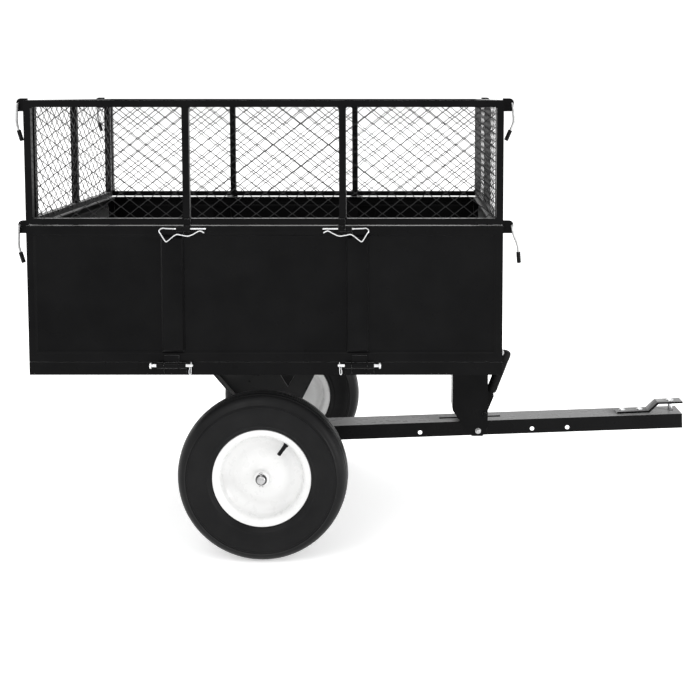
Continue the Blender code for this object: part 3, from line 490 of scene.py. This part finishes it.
# ---------------------------------------------------------------- hinges
# Each row of knuckles: the hinge's level, the places along the wall on each side, and a knuckle's width.
BARRELS = {
    "bed": ("low", (0.192, 0.244), 0.016),
    "panel_low": ("low", (0.218,), 0.035),
    "panel_high": ("high", (0.19425,), 0.0155),
    "mesh": ("high", (0.178,), 0.016),
}


def barrel_profile(width, bore):
    half = width / 2
    rim = KNUCKLE_RADIUS - KNUCKLE_EDGE
    side = half - KNUCKLE_EDGE
    return ((bore, -half), (rim, -half), (KNUCKLE_RADIUS, -side), (KNUCKLE_RADIUS, side), (rim, half),
            (bore, half))


def hinge_barrels(wall):
    """Rolled knuckles over the CAD's plain ones, on the body each belongs to."""
    panel = "wall_" + wall
    owners = {"bed": "bed", "panel_low": panel, "panel_high": panel, "mesh": "gate_" + wall}
    for key, (level, spots, width) in BARRELS.items():
        joint = f"wall_{wall}_fold" if level == "low" else f"gate_{wall}_fold"
        place = hinge_frame(joint)
        bore = LOWER_BORE if level == "low" else UPPER_BORE
        bm = bmesh.new()
        for spot in spots:
            for side in (-1, 1):
                turn = Matrix.Translation((side * spot, 0, 0)) @ Matrix.Rotation(math.pi / 2, 4, "Y")
                lathe(bm, barrel_profile(width, bore), turn, 24, closed=True)
        piece_from(bm, f"knuckles_{key}_{wall}", POWDER, owners[key], (), place)


def lock_pin(wall, tag, side):
    """Sprung wire lock pin of an upper hinge: its shank in the knuckles and its bail in front of them."""
    place = hinge_frame(f"gate_{wall}_fold")
    low, high = local_box(f"lock_pin_{wall}_{tag}", place)
    inner, outer = sorted((abs(low.x), abs(high.x)))
    outer -= LOCK_END_ROOM
    bail = [
        (outer - 0.031, 0.0, 0.0), (outer - 0.012, 0.0, 0.0006), (outer - 0.002, -0.0015, 0.0012),
        (outer + 0.0036, -0.006, -0.004), (outer - 0.001, LOCK_FRONT, -0.0115),
        (outer - 0.0085, LOCK_FRONT, -0.0240), (outer - 0.0125, LOCK_FRONT, -0.0284),
        (outer - 0.0175, LOCK_FRONT, -0.0262), (outer - 0.035, LOCK_FRONT, -0.0128),
        (outer - 0.048, LOCK_FRONT, -0.0136), (outer - 0.062, LOCK_FRONT, -0.0158),
        (outer - 0.074, LOCK_FRONT, -0.0120), (inner + 0.014, LOCK_FRONT, -0.0045),
        (inner + 0.008, LOCK_FRONT, -0.0048), (inner + 0.002, LOCK_FRONT, -0.0082),
    ]
    bm = bmesh.new()
    sweep(bm, [(side * inner, 0, 0), (side * (outer - 0.030), 0, 0)], LOCK_SHANK_RADIUS, sides=12)
    sweep(bm, smooth_route([(side * x, y, z) for x, y, z in bail]), LOCK_WIRE_RADIUS, sides=10)
    node = f"lock_pin_{wall}_{tag}"
    piece_from(bm, f"lock_wire_{wall}_{tag}", ZINC, f"lock_{wall}_{tag}", [node], place)


def lower_pin(wall, tag, side):
    """Headed pin of a bottom hinge with its spring clip."""
    place = hinge_frame(f"wall_{wall}_fold")
    low, high = local_box(f"hinge_pin_{wall}_{tag}", place)
    inner, outer = sorted((abs(low.x), abs(high.x)))
    profile = [
        (0, inner), (PIN_RADIUS - 0.0010, inner), (PIN_RADIUS, inner + 0.0015), (PIN_RADIUS, outer - 0.005),
        (PIN_HEAD_RADIUS - 0.0007, outer - 0.005), (PIN_HEAD_RADIUS, outer - 0.0043),
        (PIN_HEAD_RADIUS, outer - 0.0012), (PIN_HEAD_RADIUS - 0.0009, outer), (0, outer),
    ]
    clip = [
        (0, 0, 0.0075), (0, 0, 0.0), (0.0003, 0.0, -0.010), (0.0008, -0.0004, -0.0185),
        (0.0026, -0.0006, -0.0215), (0.0048, -0.0004, -0.0188), (0.0050, 0.0, -0.0120),
        (0.0034, 0.0, -0.0072), (0.0042, 0, -0.0045),
    ]
    bm = bmesh.new()
    lathe(bm, profile, Matrix.Rotation(side * math.pi / 2, 4, "Y"), 28)
    route = smooth_route([(side * (inner + 0.004 + x), y, z) for x, y, z in clip], 6)
    sweep(bm, route, CLIP_WIRE_RADIUS, sides=8)
    node = f"hinge_pin_{wall}_{tag}"
    piece_from(bm, f"clip_pin_{wall}_{tag}", ZINC, "bed", [node], place)


def end_rod(wall):
    """Long headed rod through both bottom hinges of an end wall."""
    place = hinge_frame(f"wall_{wall}_fold")
    low, high = local_box("hinge_rod_" + wall, place)
    neck = low.x + 0.004
    profile = [
        (0, low.x), (PIN_HEAD_RADIUS - 0.0009, low.x), (PIN_HEAD_RADIUS, low.x + 0.0008),
        (PIN_HEAD_RADIUS, neck - 0.0006), (PIN_HEAD_RADIUS - 0.0009, neck), (PIN_RADIUS, neck),
        (PIN_RADIUS, high.x - 0.002), (PIN_RADIUS - 0.0010, high.x), (0, high.x),
    ]
    bm = bmesh.new()
    lathe(bm, profile, Matrix.Rotation(math.pi / 2, 4, "Y"), 28)
    piece_from(bm, "rod_" + wall, DULL_ZINC, "bed", ["hinge_rod_" + wall], place)


# ---------------------------------------------------------------- corner latches
# How far each latch's wire bows in from its pivot at four heights on its way down.
LATCH_BOWS = {
    ("front", "low"): (-0.004, -0.012, -0.0145, -0.0155),
    ("front", "high"): (-0.002, -0.003, 0.001, 0.007),
    ("rear", "low"): (-0.0010, -0.0016, 0.0, 0.0040),
    ("rear", "high"): (-0.0010, -0.0016, 0.0, 0.0040),
}


def latch(wall, level, tag, side):
    """Bent wire of a corner latch and the ribbed black sleeve on its lower end."""
    node = f"latch_{wall}_{level}_{tag}"
    turn = hinge_frame(f"wall_{wall}_fold").to_3x3().to_4x4()
    place = Matrix.Translation(JOINTS[node + "_lift"]["pos_m"]) @ turn
    bow = LATCH_BOWS[(wall, level)]
    tail = -LATCH_TAIL * side
    reach = LATCH_REACH * side
    route = [
        (tail, 0, -0.0034), (tail, 0, -0.0006), (tail + 0.0014 * side, 0, 0), (0, 0, 0),
        (reach - 0.002 * side, 0, 0), (reach, 0, -0.002), (reach, bow[0], -0.020), (reach, bow[1], -0.040),
        (reach, bow[2], -0.052), (reach, bow[3], -0.066),
    ]
    bm = bmesh.new()
    sweep(bm, smooth_route(route, 5), LATCH_WIRE_RADIUS, sides=12)
    end = Vector(route[-1])
    run = (end - Vector(route[-2])).normalized()
    start = end - run * SLEEVE_LAP
    sleeve = [(0.0024, 0.0), (0.0044, 0.0), (0.0050, 0.0008)]
    sleeve += ribs(0.003, 5, 0.0043, 0.0050, 0.0046, (0.0008, 0.0014, 0.0022))
    sleeve += [(0.0050, SLEEVE_LENGTH - 0.0018), (0.0036, SLEEVE_LENGTH - 0.0003), (0, SLEEVE_LENGTH)]
    piece_from(bm, node + "_wire", DULL_ZINC, node, [node], place)
    bm = bmesh.new()
    lathe(bm, [(0, 0.0)] + sleeve, axis_frame(start, run), 24)
    piece_from(bm, node + "_sleeve", GRIP, node, (), place)


# ---------------------------------------------------------------- wheels
# Outlines as (radius, distance from the wheel's middle plane).
TYRE_SIDE = [
    (0.1010, 0.0235), (0.1080, 0.0262), (0.1150, 0.0300), (0.1163, 0.0335), (0.1168, 0.0362),
    (0.1182, 0.0380), (0.1206, 0.0393), (0.1236, 0.0408), (0.1252, 0.0424), (0.1268, 0.0434),
    (0.1288, 0.0436), (0.1304, 0.0431), (0.1330, 0.0440), (0.1380, 0.0459), (0.1450, 0.0480),
    (0.1530, 0.0494), (0.1600, 0.0498), (0.1660, 0.0495), (0.1694, 0.0490), (0.1704, 0.0497),
    (0.1716, 0.0497), (0.1724, 0.0484), (0.1744, 0.0477), (0.1752, 0.0483), (0.1762, 0.0480),
    (0.1770, 0.0466), (0.1808, 0.0450), (0.1856, 0.0421), (0.1900, 0.0382), (0.1936, 0.0332),
    (0.1958, 0.0290), (0.1962, 0.0276), (0.1946, 0.0269), (0.1946, 0.0246), (0.1970, 0.0238),
    (0.1984, 0.0180), (0.1988, 0.0156), (0.1968, 0.0149), (0.1968, 0.0126), (0.1992, 0.0118),
    (0.1998, 0.0060), (0.1999, 0.0038), (0.1978, 0.0030), (0.1978, 0.0008),
]
RIM_DISH_FACE = [
    (0.0130, 0.0420), (0.0172, 0.0420), (0.0180, 0.0412), (0.0183, 0.0300), (0.0192, 0.0250),
    (0.0225, 0.0214), (0.0290, 0.0186), (0.0380, 0.0160), (0.0470, 0.0138), (0.0560, 0.0108),
    (0.0640, 0.0066), (0.0720, 0.0040), (0.0800, 0.0036), (0.0870, 0.0048), (0.0925, 0.0080),
    (0.0952, 0.0130),
]
RIM_LIP = [
    (0.0962, 0.0200), (0.0974, 0.0260), (0.1000, 0.0302), (0.1040, 0.0328), (0.1090, 0.0344),
    (0.1130, 0.0352), (0.1150, 0.0350), (0.1157, 0.0338), (0.1154, 0.0318), (0.1120, 0.0302),
    (0.1060, 0.0288), (0.1010, 0.0262), (0.0992, 0.0220),
]
RIM_DISH_BACK = [
    (0.0955, -0.0110), (0.0935, -0.0040), (0.0890, -0.0002), (0.0800, -0.0012), (0.0700, -0.0008),
    (0.0620, 0.0020), (0.0540, 0.0065), (0.0450, 0.0098), (0.0360, 0.0116), (0.0270, 0.0118),
    (0.0200, 0.0100), (0.0184, 0.0060), (0.0182, -0.0400), (0.0172, -0.0420), (0.0130, -0.0420),
]
BUSH = [
    (0.0104, -0.0424), (0.0128, -0.0424), (0.0133, -0.0419), (0.0133, 0.0419), (0.0128, 0.0424),
    (0.0104, 0.0424),
]


def mirrored(outline):
    """An outline's other half, read back to its start."""
    return [(radius, -offset) for radius, offset in reversed(outline)]


def wheel(name, side):
    """Tyre, dished rim, bush and valve; local z points away from the cart."""
    body = "wheel_" + name
    place = axis_frame(centre("tyre_" + name), (0, side, 0))
    bm = bmesh.new()
    lathe(bm, TYRE_SIDE + mirrored(TYRE_SIDE), None, 112, closed=True)
    piece_from(bm, "tyre_ribbed_" + name, RUBBER, body, ["tyre_" + name], place, 38)
    bm = bmesh.new()
    lathe(bm, RIM_DISH_FACE + RIM_LIP + mirrored(RIM_LIP) + RIM_DISH_BACK, None, 96, closed=True)
    piece_from(bm, "rim_dished_" + name, WHITE, body, ["rim_" + name], place, 50)
    bm = bmesh.new()
    lathe(bm, BUSH, None, 40, closed=True)
    piece_from(bm, "bush_" + name, NYLON, body, ["hub_bush_" + name], place)
    valve(name, side, body)


def valve(name, side, body):
    """Rubber valve stem with its cap, leaning out from the rim."""
    out = Vector((math.sin(VALVE_LEAN), 0, math.cos(VALVE_LEAN)))
    foot = centre("tyre_" + name) + out * VALVE_FOOT + Vector((0, side * VALVE_OFFSET, 0))
    bm = bmesh.new()
    cap = [(0, 0.0), (0.0040, 0.0), (0.0047, 0.0007)]
    cap += ribs(0.0016, 5, 0.0022, 0.0047, 0.0044, (0.0005, 0.0011, 0.0016))
    cap += [(0.0047, 0.0130), (0.0043, 0.0136), (0.0043, 0.0142), (0.0049, 0.0154), (0.0050, 0.0230),
            (0.0052, 0.0260), (0.0062, 0.0280), (0.0064, 0.0298), (0, 0.0300)]
    lathe(bm, cap, axis_frame((0, 0, 0), out), 24)
    place = Matrix.Translation(foot)
    piece_from(bm, "valve_" + name, GRIP, body, ["valve_stem_" + name], place)


def axle():
    low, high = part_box("axle")
    half = (high[1] - low[1]) / 2
    outline = [(0, half - 0.0004), (0.0035, half - 0.0001), (AXLE_RADIUS - 0.0016, half),
               (AXLE_RADIUS, half - 0.0014)]
    bm = bmesh.new()
    lathe(bm, [(radius, -spot) for radius, spot in outline] + list(reversed(outline)), None, 40)
    place = axis_frame(centre("axle"), (0, 1, 0))
    piece_from(bm, "axle_shaft", DULL_ZINC, "chassis", ["axle"], place)


def split_pin(name, side):
    """Split pin through the axle's end, and the washer behind it."""
    spot = centre("cotter_" + name)
    spot.z = centre("axle").z
    legs = [
        (0.0046, 0, -0.0165), (0.0016, 0, -0.0130), (0.0011, 0, -0.0095), (0.0011, 0, 0.0105),
        (0.0036, 0, 0.0130), (0.0032, 0, 0.0166), (0, 0, 0.0180), (-0.0032, 0, 0.0166),
        (-0.0036, 0, 0.0130), (-0.0011, 0, 0.0105), (-0.0011, 0, -0.0095), (-0.0014, 0, -0.0130),
        (-0.0040, 0, -0.0150),
    ]
    bm = bmesh.new()
    sweep(bm, smooth_route(legs, 5), COTTER_WIRE_RADIUS, sides=8)
    piece_from(bm, "split_pin_" + name, DULL_ZINC, "chassis", ["cotter_" + name],
               Matrix.Translation(spot))
    bm = bmesh.new()
    ring = ((0.0103, -0.0006), (0.0128, -0.0006), (0.0132, -0.0003), (0.0132, 0.0003), (0.0128, 0.0006),
            (0.0103, 0.0006))
    lathe(bm, ring, None, 40, closed=True)
    washer = axis_frame((spot.x, spot.y - side * WASHER_GAP, spot.z), (0, 1, 0))
    piece_from(bm, "axle_washer_" + name, NYLON, "chassis", (), washer)


# ---------------------------------------------------------------- drawbar fittings
def half_height(node, axis):
    low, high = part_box(node)
    return (high[axis] - low[axis]) / 2


def hitch_bolt(end, axis):
    """Round-headed bolt of the strap with its hex nut below the drawbar's top."""
    node = "hitch_bolt_" + end
    half = half_height(node, 2)
    top = half - 0.0003
    shank = 0.0048
    head = [
        (0, top), (0.0022, top - 0.0001), (0.0046, top - 0.0008), (0.0066, top - 0.0018),
        (0.0082, top - 0.0032), (0.0086, top - 0.0042), (0.0080, top - 0.0046), (shank, top - 0.0046),
        (shank, -half + 0.0012), (0.0036, -half), (0, -half),
    ]
    nut_top = top - 0.0134
    nut_foot = nut_top - 0.0080
    nut = (
        (shank, nut_top), (0.0086, nut_top), (0.0094, nut_top - 0.0010), (0.0094, nut_foot + 0.0010),
        (0.0086, nut_foot), (shank, nut_foot),
    )
    bm = bmesh.new()
    lathe(bm, head, None, 36)
    lathe(bm, nut, None, 6, closed=True)
    place = axis_frame(centre(node), axis)
    piece_from(bm, node + "_domed", ZINC, "chassis", [node], place)


def drop_pin(axis):
    """Loose hitch pin with a low round head and a tapered tip."""
    half = half_height("hitch_pin", 2)
    top = half - 0.0004
    shank = 0.0060
    pin = [
        (0, top), (0.0030, top - 0.0002), (0.0060, top - 0.0010), (0.0086, top - 0.0026),
        (0.0100, top - 0.0044), (0.0103, top - 0.0052), (0.0096, top - 0.0056), (shank, top - 0.0058),
        (shank, -half + 0.0050), (0.0052, -half + 0.0030), (0.0030, -half), (0, -half),
    ]
    bm = bmesh.new()
    lathe(bm, pin, None, 36)
    place = axis_frame(centre("hitch_pin"), axis)
    piece_from(bm, "drop_pin_domed", ZINC, "drop_pin", ["hitch_pin"], place)


def cross_bolt(node, radius, head, material):
    """Hex bolt through the tower, with washers and a nut; z points to the near side."""
    reach = half_height(node, 1)
    face = TOWER_FACE
    edge = 0.0007
    bm = bmesh.new()
    for foot, top in ((face + 0.0016, face + 0.0070), (-face - 0.0086, -face - 0.0016)):
        hexagon = (
            (radius * 0.9, foot), (head - edge, foot), (head, foot + edge), (head, top - edge),
            (head - edge * 1.5, top), (radius * 0.9, top),
        )
        lathe(bm, hexagon, None, 6, closed=True)
    for foot, top in ((face, face + 0.0014), (-face - 0.0014, -face)):
        rim = head + 0.0016
        washer = (
            (radius, foot), (rim - 0.0004, foot), (rim, foot + 0.0004), (rim, top - 0.0004),
            (rim - 0.0004, top), (radius, top),
        )
        lathe(bm, washer, None, 32, closed=True)
    shank = [
        (0, face + 0.0072), (radius, face + 0.0072), (radius, -reach + 0.0010), (radius - 0.0010, -reach),
        (0, -reach),
    ]
    lathe(bm, shank, None, 24)
    place = axis_frame(centre(node), (0, -1, 0))
    piece_from(bm, node + "_hex", material, "chassis", [node], place)


def lever_grip():
    """Moulded grip with finger ribs."""
    pivot = Vector(JOINTS["lever_pull"]["pos_m"])
    place = Matrix.Translation(pivot) @ Matrix.Rotation(LEVER_LEAN, 4, "Y")
    profile = [(0, 0.0530), (0.0095, 0.0530), (0.0120, 0.0545), (0.0132, 0.0580), (0.0138, 0.0650)]
    profile += ribs(0.0700, 12, 0.0066, 0.0138, 0.0130, (0.0008, 0.0020, 0.0028))
    profile += [(0.0140, 0.1560), (0.0139, 0.1610), (0.0130, 0.1660), (0.0108, 0.1700), (0.0070, 0.1716),
                (0, 0.1720)]
    bm = bmesh.new()
    lathe(bm, profile, None, 40)
    piece_from(bm, "ribbed_grip", GRIP, "lever", ["lever_grip"], place, 30)


def bracket_welds():
    """Ring of weld beads where each tip bracket meets the axle."""
    bm = bmesh.new()
    middle = centre("axle")
    for _, side in SIDES:
        y = side * (BRACKET_SPOT - BRACKET_BEAD_GAP)
        for i in range(BRACKET_BEADS):
            turn = 2 * math.pi * i / BRACKET_BEADS
            out = Vector((math.cos(turn), 0, math.sin(turn))) * BRACKET_BEAD_RING
            ball(bm, Vector((middle.x, y, middle.z)) + out, BRACKET_BEAD_RADIUS)
    piece_from(bm, "bracket_welds", POWDER, "bed", (), None, 60)


# ---------------------------------------------------------------- studio
def studio_floor():
    bm = bmesh.new()
    bmesh.ops.create_circle(bm, cap_ends=True, segments=96, radius=FLOOR_RADIUS)
    mesh = bpy.data.meshes.new("studio_floor")
    bm.to_mesh(mesh)
    bm.free()
    mesh.materials.append(FLOOR)
    floor = bpy.data.objects.new("studio_floor", mesh)
    bpy.context.scene.collection.objects.link(floor)


def studio_light():
    world = bpy.data.worlds.new("studio")
    world.use_nodes = True
    background = world.node_tree.nodes["Background"]
    background.inputs["Color"].default_value = (1, 1, 1, 1)
    background.inputs["Strength"].default_value = WORLD_STRENGTH
    bpy.context.scene.world = world
    bpy.context.scene.view_settings.view_transform = "Standard"
    for name, spot, size, power in LIGHTS:
        data = bpy.data.lights.new(name, "AREA")
        data.shape = "DISK"
        data.size = size
        data.energy = power
        lamp = bpy.data.objects.new(name, data)
        lamp.location = spot
        aim = Vector(LIGHT_AIM) - Vector(spot)
        lamp.rotation_euler = aim.to_track_quat("-Z", "Y").to_euler()
        bpy.context.scene.collection.objects.link(lamp)


def studio_camera():
    data = bpy.data.cameras.new("camera")
    data.lens = CAMERA_LENS
    data.sensor_width = 36.0
    data.shift_x, data.shift_y = CAMERA_SHIFT
    data.clip_end = 200.0
    camera = bpy.data.objects.new("camera", data)
    camera.location = CAMERA_SPOT
    camera.rotation_euler = (math.pi / 2 - CAMERA_PITCH, 0, 0)
    bpy.context.scene.collection.objects.link(camera)
    bpy.context.scene.camera = camera


def wall_fittings(wall):
    """Everything finer than steelwork on one wall and its mesh extension."""
    expanded_mesh(wall)
    frame_welds(wall)
    hinge_barrels(wall)
    for tag, side in PIN_TAGS:
        lock_pin(wall, tag, side)
        if wall in END_WALLS:
            latch(wall, "low", tag, side)
            latch(wall, "high", tag, side)
        else:
            lower_pin(wall, tag, side)
    if wall in END_WALLS:
        end_rod(wall)


def chassis_fittings():
    axle()
    for name, side in SIDES:
        split_pin(name, side)
    pin_axis = Vector(JOINTS["hitch_pin_lift"]["axis"])
    for end in ("rear", "front"):
        hitch_bolt(end, pin_axis)
    drop_pin(pin_axis)
    cross_bolt("tower_bolt", 0.0048, 0.0062, DULL_ZINC)
    cross_bolt("lever_pivot_bolt", 0.0040, 0.0065, POWDER)
    lever_grip()
    bracket_welds()


studio_floor()
studio_light()
studio_camera()
steelwork()
for wall in WALLS:
    wall_fittings(wall)
for name, side in SIDES:
    wheel(name, side)
chassis_fittings()
